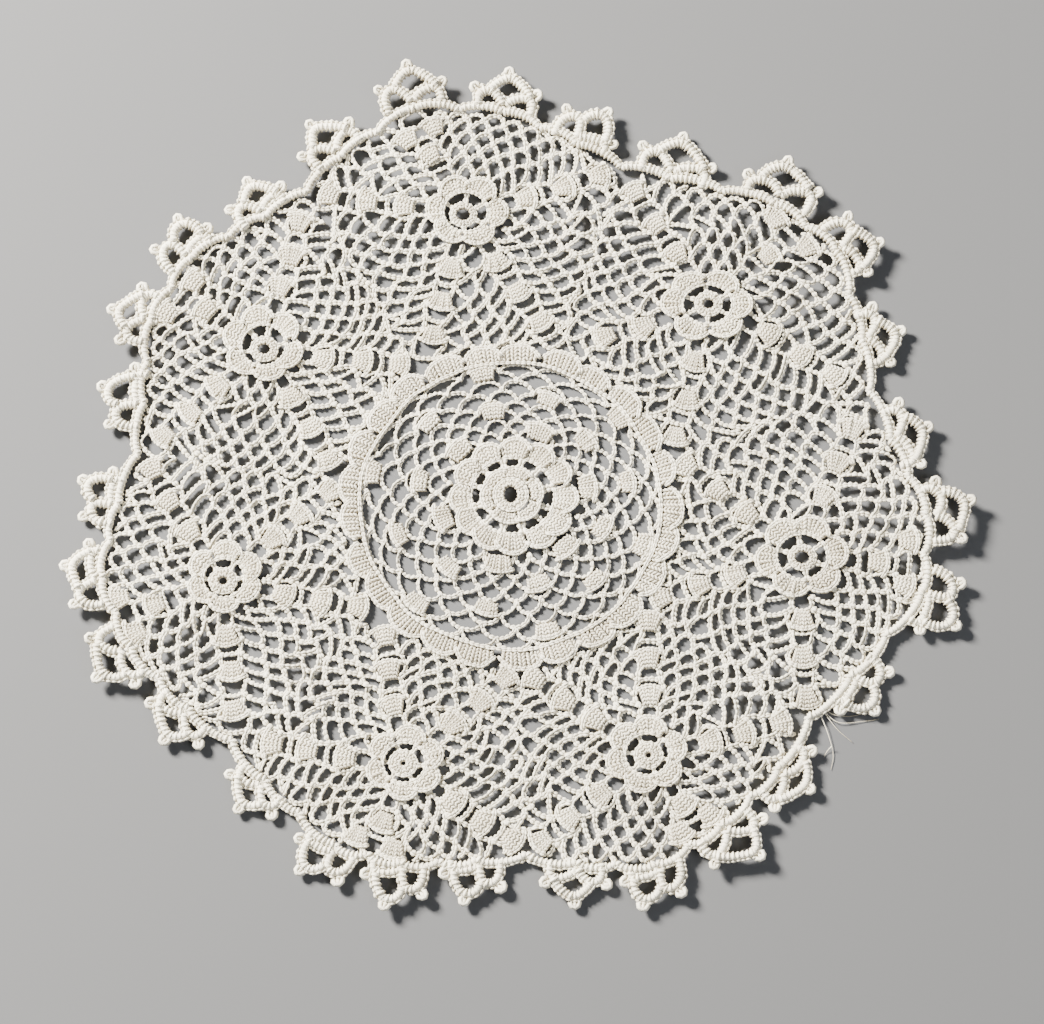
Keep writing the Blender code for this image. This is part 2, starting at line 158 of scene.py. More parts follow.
# Fibres loose from the edging, from where they are held to their tips
FRAYED = (
    ((90.6, -75.4), (94.1, -78.0), (99.8, -78.4), (105.5, -76.7)),
    ((90.2, -76.0), (95.4, -80.4), (102.7, -80.1), (107.9, -79.3)),
    ((89.4, -76.4), (92.1, -83.2), (93.7, -90.0), (92.9, -94.9)),
    ((90.4, -76.2), (95.0, -82.3), (99.7, -86.6)),
    ((93.3, -87.9), (91.9, -89.3), (90.9, -91.0)),
)

Swell = namedtuple("Swell", "angle distance reach height")
SWELLS = (
    Swell(72, 96, 22, 1.1),
    Swell(18, 88, 20, 0.8),
    Swell(-36, 92, 24, 1.3),
    Swell(-88, 86, 18, 0.7),
    Swell(-137, 90, 22, 1.0),
    Swell(172, 94, 20, 1.2),
    Swell(121, 98, 22, 0.9),
)

# -------------------- sizes of the stitches

CHAIN = 1.65  # length of one chain stitch
RIM_CHAIN = 0.8 * CHAIN  # and of one along the top of tall stitches
RIM_UP = 0.22  # how far that chain lies above them
WRAP = 1.15  # from one crossing of a tall stitch's thread to the next
WRAPS = range(2, 9)  # how many crossings a tall stitch can have
TALL_ARCHED = 0.32  # how far it rises in its middle
FILLED = 1.45  # length of one stitch of a filled cord
CORE_SIDES = 6
CORE_DOWN = 0.2  # how far a cord's core lies below its middle, and
CORE_RADIUS = 0.92  # how thick it is, as shares of the cord's width

NET = 0.66  # height of the middle of the net's chains
NET_WIDE = 1.48  # how much wider the outer nets' chains are than a plain one
CENTRE_NET_WIDE = 1.22
HOOK_UP = 0.30  # how far a chain rises where it hooks over another
KNOT_UP = 0.12  # how far a knot lies above the chains
KNOT_SIZE = 0.9
CORD = 1.42  # how much thicker than its pattern the edging's filled cord is
CORD_THICKER = 0.07  # how much thicker it is at the very back, and thinner at the front
EDGE_UP = 1.45  # height of the middle of the edge's cord
EDGE_PINCH = 0.9  # how far it falls back between its arches
EDGE_RISE = 1.9  # how far its arches rise
EDGE_THIN = 0.78  # how thick it is between two crowns, as a share of what it is at their feet
# The height of a crown's filled arches at their ends, and how much lower they are halfway
ARCH_HEIGHTS = (("right", 1.45, 0.0), ("left", 1.6, 0.0), ("upper", 2.15, 0.5))
PICOT_OUT = 1.1  # how far a picot's root lies from the middle of its arch
PICOT_UP = 1.6
PICOT_LONG = 1.1

LOWEST_TONE = 0.25  # how light the lowest point of a stitch is, where 1 is its highest: painted shade, darker low down where less light reaches
CORE_TONE = 0.45  # how much less the core of a tall stitch gets, as painted shade where the wraps cover it
POST_SHADE = 0.80  # painted shade on tall stitches, which lie deeper than their tops

# How much stitches differ, as standard deviations
SHADES_VARY = 0.07
ROLLS_VARY = 0.12
HEIGHTS_VARY = 0.05
WIDTHS_VARY = 0.06
POSTS_VARY = 0.07  # in width
SLOPES_VARY = 0.02

# -------------------- plane geometry


def turned(angle):
    return np.exp(1j * np.radians(angle))


def polar(centre, angle, distance):
    return centre + distance * turned(angle)


def direction(p, q):
    return math.degrees(np.angle(q - p))


def turn_between(start, end):
    return (end - start + 180) % 360 - 180


def smooth(share):
    share = np.clip(share, 0.0, 1.0)
    return share * share * (3 - 2 * share)


def swung(first, second, angle):
    """Two coordinates turned by an angle, which is in radians here."""
    cos, sin = np.cos(angle), np.sin(angle)
    return first * cos - second * sin, first * sin + second * cos


def spaced(number):
    """The middles of this many equal steps from -1 to 1."""
    return (np.arange(number) + 0.5) / number * 2 - 1


def summed(steps):
    return np.concatenate([[0.0], np.cumsum(steps)])


def path_length(path):
    return float(np.abs(np.diff(path)).sum())


def along(path, share):
    """The places at these shares of a path's length."""
    path = np.asarray(path)
    run = summed(np.abs(np.diff(path)))
    at = np.asarray(share) * run[-1]
    return np.interp(at, run, path.real) + 1j * np.interp(at, run, path.imag)


def curved(points, steps=8):
    """A smooth path through these points."""
    points = np.asarray(points, complex)
    before, after = 2 * points[0] - points[1], 2 * points[-1] - points[-2]
    padded = np.concatenate([[before], points, [after]])
    share = np.linspace(0, 1, steps, endpoint=False)
    pieces = []
    for a, b, c, d in zip(padded, padded[1:], padded[2:], padded[3:]):
        pieces.append(
            b
            + 0.5 * share * (c - a)
            + share**2 * (a - 2.5 * b + 2 * c - 0.5 * d)
            + share**3 * (1.5 * (b - c) + 0.5 * (d - a))
        )
    return np.concatenate([*pieces, points[-1:]])


def arch(start, apex, end, lean):
    """A path from start over the apex to end. More lean makes it more pointed."""
    rise = apex - (start + end) / 2
    chord = end - start
    a = start + rise * 4 / 3 + chord * lean
    b = end + rise * 4 / 3 - chord * lean
    t = np.linspace(0, 1, 15)
    return (1 - t) ** 3 * start + 3 * (1 - t) ** 2 * t * a + 3 * (1 - t) * t**2 * b + t**3 * end


# -------------------- how the doily lies

# The crowns in turn, and again the last before them and the first after them
AROUND = sorted(CROWNS)
AROUND = [AROUND[-1], *AROUND, AROUND[0]]
ANGLES = np.array([crown.angle for crown in AROUND]) + [-360, *[0] * len(CROWNS), 360]
LIFTS = np.array([crown.lift for crown in AROUND])


def lift(place):
    """How far the underside is above the table."""
    out = place - HEART
    angle = np.degrees(np.angle(out))
    after = np.clip(np.searchsorted(ANGLES, angle), 1, len(ANGLES) - 1)
    share = (angle - ANGLES[after - 1]) / (ANGLES[after] - ANGLES[after - 1])
    rim = LIFTS[after - 1] + (LIFTS[after] - LIFTS[after - 1]) * smooth(share)
    rise = rim * smooth((np.abs(out) - FLAT_TO) / (RIM_AT - FLAT_TO))
    for swell in SWELLS:
        apart = np.abs(place - polar(HEART, swell.angle, swell.distance))
        rise = rise + swell.height * smooth(1 - apart / swell.reach)
    return rise


def uneven(place):
    """The place, moved as in hand work, by up to 0.8 mm each way, in long and short waves."""
    x, y = np.real(place), np.imag(place)
    across = 0.34 * np.sin(x / 5.3 + y / 9.1 + 1.0) + 0.26 * np.sin(y / 3.9 - x / 7.7)
    across += 0.20 * np.sin(x / 1.31 + y / 1.07) * np.sin(y / 1.53 - 2.0)
    up = 0.34 * np.sin(y / 5.9 - x / 8.3 + 2.0) + 0.26 * np.sin(x / 4.1 + y / 6.7 + 0.5)
    up += 0.20 * np.sin(y / 1.23 - x / 1.41 + 1.0) * np.sin(x / 1.67)
    return place + across + 1j * up


# -------------------- stitches

Stitch = namedtuple("Stitch", "points quads threads tones")


def tube(stations, sides=4):
    """One closed piece of thread through (x, y, z, radius) stations, in millimetres."""
    stations = np.array(stations, float)
    line, radii = stations[:, :3], stations[:, 3]
    heading = np.gradient(line, axis=0)
    heading /= np.linalg.norm(heading, axis=1)[:, None]
    first = np.cross(heading[0], (0.0, 0.0, 1.0))
    if np.linalg.norm(first) < 0.2:
        first = np.cross(heading[0], (0.0, 1.0, 0.0))
    turn = 2 * np.pi * np.arange(sides) / sides
    rings = []
    for here, ahead, radius in zip(line, heading, radii):
        first = first - ahead * first.dot(ahead)
        first /= np.linalg.norm(first)
        second = np.cross(ahead, first)
        ring = np.outer(np.cos(turn), first) + np.outer(np.sin(turn), second)
        rings.append(here + radius * ring)
    run = summed(np.linalg.norm(np.diff(line, axis=0), axis=1))
    quads, threads = [], []
    for ring in range(len(line) - 1):
        behind, ahead = run[ring], run[ring + 1]
        for side in range(sides):
            a, b = ring * sides + side, ring * sides + (side + 1) % sides
            quads.append((a, b, b + sides, a + sides))
            one, two = side / sides, (side + 1) / sides
            threads.append(((behind, one), (behind, two), (ahead, two), (ahead, one)))
    last = (len(line) - 1) * sides
    for start, order in ((0, (0, 3, 2, 1)), (last, (0, 1, 2, 3))):
        for fan in range(0, sides - 2, 2):
            corners = [0, fan + 1, fan + 2, fan + 3]
            quads.append(tuple(start + corners[number] for number in order))
            threads.append(((run[-1] if start else 0.0, 0.5),) * 4)
    return np.concatenate(rings), np.array(quads), np.array(threads)


def stitch(*tubes, core=None):
    """A stitch made of tubes, over a core if it has one. Its tones are darker where less light
    reaches, low down and on the core."""
    tubes = tubes + (core,) if core else tubes
    points, quads, threads, count = [], [], [], 0
    for piece in tubes:
        points.append(piece[0])
        quads.append(piece[1] + count)
        threads.append(piece[2])
        count += len(piece[0])
    points = np.concatenate(points)
    low, high = points[:, 2].min(), points[:, 2].max()
    tones = LOWEST_TONE + (1 - LOWEST_TONE) * ((points[:, 2] - low) / (high - low)) ** 0.7
    if core:
        tones[-len(core[0]) :] *= CORE_TONE
    return Stitch(points, np.concatenate(quads), np.concatenate(threads), tones)


def mirrored(stations):
    return [(x, -y, z, radius) for x, y, z, radius in stations]


# A chain stitch: two legs, which part at its root and close over the root of the next one
CHAIN_LEG = ((-0.34, 0.10, -0.20, 0.20), (0.70, 0.33, 0.17, 0.31), (1.95, 0.10, -0.16, 0.21))
CHAIN_STITCH = stitch(tube(CHAIN_LEG), tube(mirrored(CHAIN_LEG)))

# One crossing of a tall stitch's thread, with x as a share of the wrap
CROSSING = ((-0.14, -0.40, -0.14, 0.21), (0.50, 0.0, 0.22, 0.35), (1.14, 0.40, -0.14, 0.21))


def tall(wraps, hand):
    """A tall stitch: a core, and over it a thread that crosses it slantwise once for each wrap. The
    hand, 1 or -1, is the way that it slants."""
    length = wraps * WRAP
    tubes = []
    for wrap in range(wraps):
        stations = []
        for share, y, z, radius in CROSSING:
            x = (wrap + share) * WRAP
            up = TALL_ARCHED * math.sin(math.pi * min(max(x / length, 0.0), 1.0))
            stations.append((x, hand * y, z + up, radius))
        tubes.append(tube(stations))
    low = -0.24
    middle = (length / 2, 0.0, TALL_ARCHED + low, 0.52)
    core = tube([(0.0, 0.0, low, 0.48), middle, (length, 0.0, low, 0.48)])
    return stitch(*tubes, core=core)


TALL = {(wraps, hand): tall(wraps, hand) for wraps in WRAPS for hand in (-1, 1)}

# A stitch of a filled cord: a leg over it, from its inner side to its outer side, and the top
FILLED_LEG = (
    (0.52, -0.98, -0.42, 0.32),
    (0.62, -0.74, 0.30, 0.44),
    (0.72, 0.00, 0.56, 0.47),
    (0.80, 0.72, 0.26, 0.42),
)
FILLED_STITCH = stitch(
    tube(FILLED_LEG),
    tube(((-0.15, 0.98, 0.02, 0.20), (0.72, 1.06, 0.32, 0.34), (1.60, 0.98, 0.02, 0.20))),
)
PICOT_SIDE = ((-0.6, 0.70, -0.2, 0.52), (0.5, 0.98, 0.1, 0.60), (1.45, 0.68, 0.2, 0.60))
PICOT = stitch(
    tube(mirrored(PICOT_SIDE) + [(1.85, 0.0, 0.2, 0.62)] + list(PICOT_SIDE[::-1])),
    tube([(-0.3, 0.0, -0.2, 0.50), (0.9, 0.0, 0.0, 0.60), (1.7, 0.0, 0.1, 0.50)]),
)
KNOT_LOOP = ((-0.05, 0.66, -0.25, 0.26), (0.05, 0.0, 0.46, 0.42), (-0.05, -0.66, -0.25, 0.26))
KNOT = stitch(tube(KNOT_LOOP))


def shown(name, data):
    made = bpy.data.objects.new(name, data)
    bpy.context.scene.collection.objects.link(made)
    return made


class Work:
    """One piece of the doily: stitches that wait to become a mesh."""

    def __init__(self):
        self.points, self.quads, self.threads, self.tones = [], [], [], []
        self.count = 0

    def add(self, kind, at, facing, height, long=1.0, wide=1.0, roll=0.0, rise=0.0, shade=1.0):
        """Adds stitches of one kind. Their x axis has the facing, a complex number of length 1. It
        climbs by the rise, and they turn about it by the roll, both in radians."""
        at = np.atleast_1d(np.asarray(at, complex))[:, None]
        facing, height, long, wide, roll, rise = (
            np.broadcast_to(np.asarray(value), at.shape[0])[:, None]
            for value in (facing, height, long, wide, roll, rise)
        )
        x, y, z = (kind.points[:, axis][None, :] for axis in range(3))
        y, z = (wide * value for value in swung(y, z, roll))
        x, z = swung(x * long, z, rise)
        plan = at + facing * (x + 1j * y)
        up = lift(at) + height + z
        number = len(at)
        self.points.append(np.stack([plan.real, plan.imag, up], axis=-1).reshape(-1, 3))
        step = self.count + len(kind.points) * np.arange(number)
        self.quads.append((kind.quads[None] + step[:, None, None]).reshape(-1, 4))
        self.threads.append(np.tile(kind.threads.reshape(-1, 2), (number, 1)))
        shade = shade * random.normal(1.0, SHADES_VARY, number)
        self.tones.append((kind.tones[None] * shade[:, None]).ravel())
        self.count += number * len(kind.points)

    def place(self, kind):
        """Adds a stitch whose points are at their final places already."""
        self.add(kind, 0, 1, -lift(0))

    def follow(self, kind, path, height, pitch, wide, roll=0.0):
        """Lays stitches one after another on a path, along which height and width may change."""
        path = np.asarray(path)
        total = path_length(path)
        number = max(2, round(total / pitch))
        shares = np.linspace(0, 1, number + 1)
        places = along(path, shares)
        run = summed(np.abs(np.diff(path))) / total
        heights, widths = (
            np.interp(shares, run, np.broadcast_to(value, len(path))) for value in (height, wide)
        )
        heading = np.diff(places)
        roll = roll + random.normal(0, ROLLS_VARY, number)
        self.add(
            kind,
            places[:-1],
            heading / np.abs(heading),
            heights[:-1] + random.normal(0, HEIGHTS_VARY, number),
            long=np.abs(heading) / pitch,
            wide=widths[:-1] * random.normal(1.0, WIDTHS_VARY, number),
            roll=roll,
            rise=np.arctan2(np.diff(heights), np.abs(heading)),
        )
        return places, heights, widths

    def cord(self, path, height, wide):
        """Lays a filled cord: stitches side by side over a core that is as long as the path."""
        places, heights, widths = self.follow(FILLED_STITCH, path, height, FILLED, wide=wide)
        middle, radii = lift(places) + heights - CORE_DOWN * widths, CORE_RADIUS * widths
        stations = np.stack([places.real, places.imag, middle, radii], axis=-1)
        points, quads, threads = tube(stations, CORE_SIDES)
        over = (points[:, 2] - np.repeat(middle, CORE_SIDES)) / np.repeat(radii, CORE_SIDES)
        self.place(Stitch(points, quads, threads, 0.66 + 0.22 * over))  # painted shade, darker underneath

    def chain(self, path, height, wide, roll=0.0):
        self.follow(CHAIN_STITCH, path, height, CHAIN, wide, roll)

    def net_chain(self, path, starts=True, ends=True, wide=NET_WIDE):
        """A chain of the net, hooked over the round below where it starts or ends."""
        share = np.linspace(0, 1, len(path))
        over = starts * (1 - share) ** 3 + ends * share**3
        self.chain(path, NET + HOOK_UP * over, wide, roll=random.normal(0, 0.35))

    def knot(self, at, facing):
        self.add(KNOT, at, facing, NET + KNOT_UP, KNOT_SIZE, KNOT_SIZE)

    def fan(self, root, tip, height, slope, wide):
        """Tall stitches side by side, from an array of roots to an array of tips."""
        reach = tip - root
        wraps = np.clip(np.round(np.abs(reach) / WRAP), WRAPS[0], WRAPS[-1]).astype(int)
        hands = np.where(np.arange(len(reach)) % 2, 1, -1)
        height, slope = np.broadcast_to(height, len(reach)), np.broadcast_to(slope, len(reach))
        for kind in sorted(set(zip(wraps.tolist(), hands.tolist()))):
            those = (wraps == kind[0]) & (hands == kind[1])
            self.add(
                TALL[kind],
                root[those],
                (reach / np.abs(reach))[those],
                height[those],
                long=np.abs(reach)[those] / (kind[0] * WRAP),
                wide=wide * random.normal(1.0, POSTS_VARY, those.sum()),
                rise=slope[those],
                shade=POST_SHADE,
            )

    def finish(self, name, node, material):
        """Makes the piece's mesh, in place of a node of the solids."""
        mesh = bpy.data.meshes.new(name)
        points, quads = np.concatenate(self.points), np.concatenate(self.quads)
        mesh.vertices.add(len(points))
        mesh.vertices.foreach_set("co", (points * 0.001).ravel())
        mesh.loops.add(quads.size)
        mesh.loops.foreach_set("vertex_index", quads.ravel())
        mesh.polygons.add(len(quads))
        mesh.polygons.foreach_set("loop_start", np.arange(0, quads.size, 4))
        mesh.update(calc_edges=True)
        mesh.polygons.foreach_set("use_smooth", np.ones(len(quads), bool))
        thread = mesh.uv_layers.new(name="thread")
        thread.data.foreach_set("uv", np.concatenate(self.threads).ravel())
        tone = mesh.attributes.new("tone", "FLOAT", "POINT")
        tone.data.foreach_set("value", np.concatenate(self.tones))
        mesh.materials.append(material)
        piece = shown(name, mesh)
        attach(piece, "root")
        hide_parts(node)
        return piece


# -------------------- layout shared with the solids


def foot(index):
    """Where a crown stands on the edge."""
    crown = CROWNS[index % len(CROWNS)]
    return polar(HEART, crown.angle, crown.distance)


def edge_facing(index):
    return direction(foot(index - 1), foot(index + 1)) + 90


def edge_knot(half, out):
    """A place on the edge, moved out: a crown's foot where half is even, and otherwise the middle
    between two of them."""
    if half % 2 == 0:
        return polar(foot(half // 2), edge_facing(half // 2), out)
    middle = (edge_knot(half - 1, out) + edge_knot(half + 1, out)) / 2
    dip = JUNCTION_DIP if (half + 1) % (2 * CROWNS_EACH) == 0 else 0.0
    return polar(middle, direction(middle, HEART), dip)


def medallion_sides(index):
    """The five sides of an outer medallion: two under the edging and, clockwise, one to the next
    medallion, one on the band and one to the medallion before."""
    first = 2 * CROWNS_EACH * index
    roof = [edge_knot(first + half, -EDGE_LINE / 2) for half in (-1, 0, 2, 3, 4, 6, 7)]
    start = direction(HEART, roof[-1])
    turn = turn_between(start, direction(HEART, roof[0]))
    arc = [polar(HEART, start + turn * step / 8, BAND_OUT) for step in range(9)]
    return roof[:4], roof[3:], [roof[-1], arc[0]], arc, [arc[-1], roof[0]]


def rose_centre(index):
    return polar(HEART, ROSES[index].angle, ROSES[index].distance)


def crown_facing(index, up):
    """Which way a crown faces at a share of its height."""
    root_facing = edge_facing(index)
    leaning = CROWNS[index].angle + CROWNS[index].lean
    return root_facing + turn_between(root_facing, leaning) * smooth(up / CROWN_TURNED_AT)


def crown_point(index, across, up):
    """The place at these shares of a crown's width and height."""
    facing = crown_facing(index, up)
    middle = polar(foot(index), facing, up * CROWNS[index].height)
    return polar(middle, facing - 90, across * CROWNS[index].width)


# -------------------- shells, roses and nets

SHELL_STITCHES = 8
SHELL_ROUNDED = 0.20  # the share by which a shell is shorter at its sides


def shell(work, root, facing, reach, narrow, broad, height):
    """A fan of tall stitches worked into one place, with a chain along its rounded top. narrow and
    broad are its widths at the root and the top."""
    ahead, side = turned(facing), turned(facing - 90)
    share = spaced(SHELL_STITCHES)
    start = root + side * share * narrow / 2
    tops = root + ahead * reach * (1 - SHELL_ROUNDED * share**2) + side * share * broad / 2
    slope = 0.03 + random.normal(0, SLOPES_VARY, SHELL_STITCHES)
    work.fan(start, tops, height, slope, wide=1.12)
    rim = np.linspace(-1.08, 1.08, 9)
    top = root + ahead * (reach * (1 - SHELL_ROUNDED * rim**2) - 0.1) + side * rim * broad / 2
    work.follow(CHAIN_STITCH, top, height + RIM_UP, RIM_CHAIN, wide=1.3)


# The petals in a round of a rose: half the turn of one, where it starts and ends, the share by
# which its sides fall back, its slope in radians, and how much higher its right side lies
Petals = namedtuple("Petals", "half inner outer lobe height slope shift stitches wide")
SMALL_PETALS = Petals(29.5, 7.7, 13.1, 0.5, 1.65, 0.02, 0.25, 9, 1.35)
INNER_PETALS = Petals(30, 6.3, 9.7, 0.2, 2.5, -0.04, 0.25, 8, 1.2)
OUTER_PETALS = Petals(16.5, 13.6, 20.3, 0.42, 1.6, 0.0, 0.45, 9, 1.2)


def petal(work, spot, facing, form):
    """A petal: tall stitches from an arc to a lobe, and a chain along it. spot gives the place at
    an angle and a distance."""
    deep = form.outer - form.inner

    def lobed(share):
        return form.inner + deep * (1 - form.lobe * np.abs(share) ** 2.3)

    share = spaced(form.stitches)
    start = spot(facing - form.half * 0.86 * share, form.inner)
    tops = spot(facing - form.half * share, lobed(share))
    heights = form.height + form.shift * share + random.normal(0, HEIGHTS_VARY, form.stitches)
    slope = form.slope + random.normal(0, SLOPES_VARY, form.stitches)
    work.fan(start, tops, heights, slope, form.wide)
    rim = np.linspace(-1.05, 1.05, 11)
    heights = form.height + RIM_UP + np.tan(form.slope) * deep + form.shift * rim
    top = spot(facing - form.half * rim, lobed(rim))
    work.follow(CHAIN_STITCH, top, heights, RIM_CHAIN, wide=1.3)


def ring_of_posts(work, centre, hole, rim, posts, height, slope):
    """Posts worked into a ring, close together, from its hole to a chain around them. Hole and rim
    are each half a width and half a depth."""
    around = turned(90 - 360 * np.arange(posts) / posts)
    inner, outer = (
        centre + across * around.real + deep * 1j * around.imag for across, deep in (hole, rim)
    )
    work.fan(inner, outer, height + random.normal(0, 0.08, posts), slope=slope, wide=1.1)
    work.chain(np.append(outer, outer[0]), height - 0.1 - slope, wide=1.1)


ROSE_OUT = 13.0  # how far the petals of a small rose reach, before it is drawn out of round


def small_rose(work, centre, look):
    """A ring, six bars and six petals, drawn out of round as they lie."""

    def spot(angle, distance):
        around = distance * turned(angle)
        middle = look.ring + (look.petals - look.ring) * distance / ROSE_OUT
        across, deep = around.real * look.wide / ROSE_OUT, around.imag * look.deep / ROSE_OUT
        return centre + middle + across + 1j * deep

    hole = (look.hole * 1.05, look.hole * 0.95)
    ring_of_posts(work, centre + look.ring, hole, (4.0, 3.9), posts=20, height=1.6, slope=-0.05)
    for number in range(6):
        facing = look.first + 60 * number + random.normal(0, 2.5)
        bar = look.first + 60 * number + 30 + random.normal(0, 3)
        path = [spot(bar, 4.0), spot(bar + 2, 7.8)]
        work.chain(path, height=1.15, wide=random.uniform(1.3, 1.7))
        petal(work, spot, facing, SMALL_PETALS)
        work.chain(spot(facing - 30 * np.linspace(-1, 1, 9), 7.55), height=1.95, wide=1.15)


ROW = 3.85  # from one round of the outer nets to the next
ROWS = 11
JOIN = 5.4  # from one join to the next between two medallions
JOINED_SIDES = (2, 4)  # of a medallion's five, those on its neighbours
ARCH = 6.4  # how wide the arches of the outer nets are
SKEWS = (0.08, -0.08, 0.20, -0.10, -0.20)  # how far the rounds of each wedge lean to one side
NEAR_EDGE = 0.42  # in rounds: a knot closer than this to the edge is moved onto it
# Half an arm's width at each round
ARM_HALVES = (2.6, 2.7, 4.6, 3.3, 2.7, 4.6, 3.3, 2.7, 4.6, 3.3, 2.7, 4.6)
CROSSINGS = (0, 2, 3, 5, 6, 8, 9)  # rounds that cross an arm
TOP_ARM = 1  # of a medallion's five arms, the one under the edging
SHELL_STARTS = (1.15, 4.15, 7.15)  # in rounds
SHELL_REACH = 6.0
SHELL_ROOT = 3.6  # its width at the root
# By medallion: the turn of the arm under the edging, and how far out and aside its shells are
TOP_ARMS = (
    (20, ((20.5, 0.0), (28.5, -4.5), (29.0, 4.5))),
    (-7, ((21.5, 0.0), (31.0, -6.8), (31.5, 6.2))),
    (4, ((21.5, 0.0), (29.5, -7.5), (29.5, 5.5))),
    (5, ((15.0, 0.0), (21.8, -4.3), (21.8, 5.6))),
    (0, ((15.4, 0.0), (21.6, -5.6), (21.8, 5.2))),
    (6, ((20.0, 0.0), (28.0, -6.4), (28.2, 5.8))),
    (0, ((20.4, 0.0), (29.0, -7.0), (29.0, 6.0))),
)


class Outline:
    """How far a medallion and its rose reach from the rose's centre in each direction."""

    def __init__(self, index):
        self.rose, self.look = rose_centre(index), LOOKS[index]
        self.row, self.arch = ROW * self.look.coarse, ARCH * self.look.coarse
        self.sides = [np.array(side) for side in medallion_sides(index)]
        share = np.linspace(0, 1, 80)
        places = np.concatenate([along(side, share) for side in self.sides]) - self.rose
        places = places[np.argsort(np.angle(places))]
        self.angles, self.reaches = np.degrees(np.angle(places)), np.abs(places)

    def reach(self, angle):
        return np.interp((angle + 180) % 360 - 180, self.angles, self.reaches, period=360)

    def rim(self, angle):
        """Where a ray from the rose's centre leaves the ellipse of its petals."""
        look, ray = self.look, turned(angle)
        x, y = ray.real / look.wide, ray.imag / look.deep
        u, v = look.petals.real / look.wide, look.petals.imag / look.deep
        square, half = x * x + y * y, x * u + y * v
        return (half + np.sqrt(half * half + square * (1 - u * u - v * v))) / square

    def distance(self, row, angle):
        """How far out a round of the net lies. It starts under the petals, whose outline it follows
        less and less."""
        drawn = (self.rim(angle) - ROSE_OUT) * (1 - smooth(row / 5))
        return ROSE_OUT + self.row * row + drawn - 0.6 * (row == 0)

    def joined(self, place, side):
        """The nearest join of the line between two medallions."""
        path = self.sides[side]
        joins = max(1, round(path_length(path) / JOIN))
        chord = path[-1] - path[0]
        share = np.real((place - path[0]) * np.conj(chord)) / abs(chord) ** 2
        return along(path, round(min(max(share, 0.0), 1.0) * joins) / joins)


def wedge(work, outline, number, start, turn):
    """Rounds of chain arches between two arms, from a rose's rim to the edge of its medallion. Most
    have an arch more than the round inside them. Where they don't, an arch stands in for the strand
    beside one arm. Returns, for the start and the end, the knots beside the arm, whether each is
    inside the medallion, and whether a strand of its own runs from it to the next."""
    skew, spread = SKEWS[number], math.radians(abs(turn)) / outline.arch
    first = ROSE_OUT * spread - 2 * ARM_HALVES[0] / outline.arch
    growth = min(outline.row * spread, 1.0)
    counts = [max(1, round(first + growth * row)) for row in range(ROWS + 1)]
    knots, inside, joins, strands = [], [], [], ([], [])
    for row, count in enumerate(counts):
        keep = math.degrees(math.asin(ARM_HALVES[row] / (ROSE_OUT + outline.row * row)))
        share = np.arange(count + 1) / count
        share[1:-1] += skew * math.sin(math.pi * min(row / 8, 1.0)) / count
        angles = start - keep + (turn + 2 * keep) * share
        out, reach = outline.distance(row, angles), outline.reach(angles)
        free = out < reach - NEAR_EDGE * outline.row
        places = polar(outline.rose, angles, np.where(free, out, reach))
        if number in JOINED_SIDES:
            at = [outline.joined(place, number) for place in places]
            places = np.where(free, places, at)
        knots.append(uneven(places))
        inside.append(free)
        shared = row < ROWS and counts[row + 1] == count
        joins.append(0 if shared and row % 2 else 1)
        strands[0].append(not (shared and row % 2))
        strands[1].append(not (shared and row % 2 == 0))
    for row in range(ROWS):
        here, after = knots[row], knots[row + 1]
        for cell in range(counts[row]):
            starts, ends = inside[row][cell], inside[row][cell + 1]
            if not (starts or ends):
                continue
            apex = after[cell + joins[row]]
            path = arch(here[cell], apex, here[cell + 1], 0.13 + random.normal(0, 0.05))
            half = len(path) // 2
            path = path if starts and ends else path[: half + 1] if starts else path[half:]
            work.net_chain(path, starts, ends)
            away = apex - (here[cell] + here[cell + 1]) / 2
            work.knot(apex, -1j * away / abs(away))
    return [
        [(row[end], free[end], own) for row, free, own in zip(knots, inside, strands[end])]
        for end in (0, -1)
    ]


def arm(work, raised, rose, facing, before, after, shells, crossings):
    """The strands on either side of an arm, the rounds that cross it and its shells."""
    ahead = turned(facing)
    for row in range(ROWS):
        (left, left_free, left_own), (right, right_free, right_own) = before[row], after[row]
        left_next, right_next = before[row + 1][0], after[row + 1][0]
        if left_free and right_free and row in crossings:
            over = (left_next + right_next) / 2 + ahead * random.uniform(0.3, 1.0)
            path = [left] * left_own + [left_next, over, right_next] + [right] * right_own
            work.net_chain(curved(path, 5))
            work.knot(over, turned(facing - 90))
            continue
        for place, onward, drawn, hand in (
            (left, left_next, left_free and left_own, 1),
            (right, right_next, right_free and right_own, -1),
        ):
            if drawn:
                middle = (place + onward) / 2 + 0.5j * hand * ahead
                work.net_chain(curved([place, middle, onward], 5), True, False)
    for out, aside, turn in shells:
        root = uneven(polar(rose, facing, out) + aside * turned(facing - 90))
        broad = 7.9 + random.normal(0, 0.4)
        leaning = facing + turn + random.normal(0, 4)
        shell(raised, root, leaning, SHELL_REACH, SHELL_ROOT, broad, height=1.2)


def finish_medallion(name, net, raised, material):
    """The net as one piece, and what is worked on it as another."""
    pieces = ((net, "_net"), (raised, "_raised"))
    return [work.finish(name + part, name, material) for work, part in pieces]


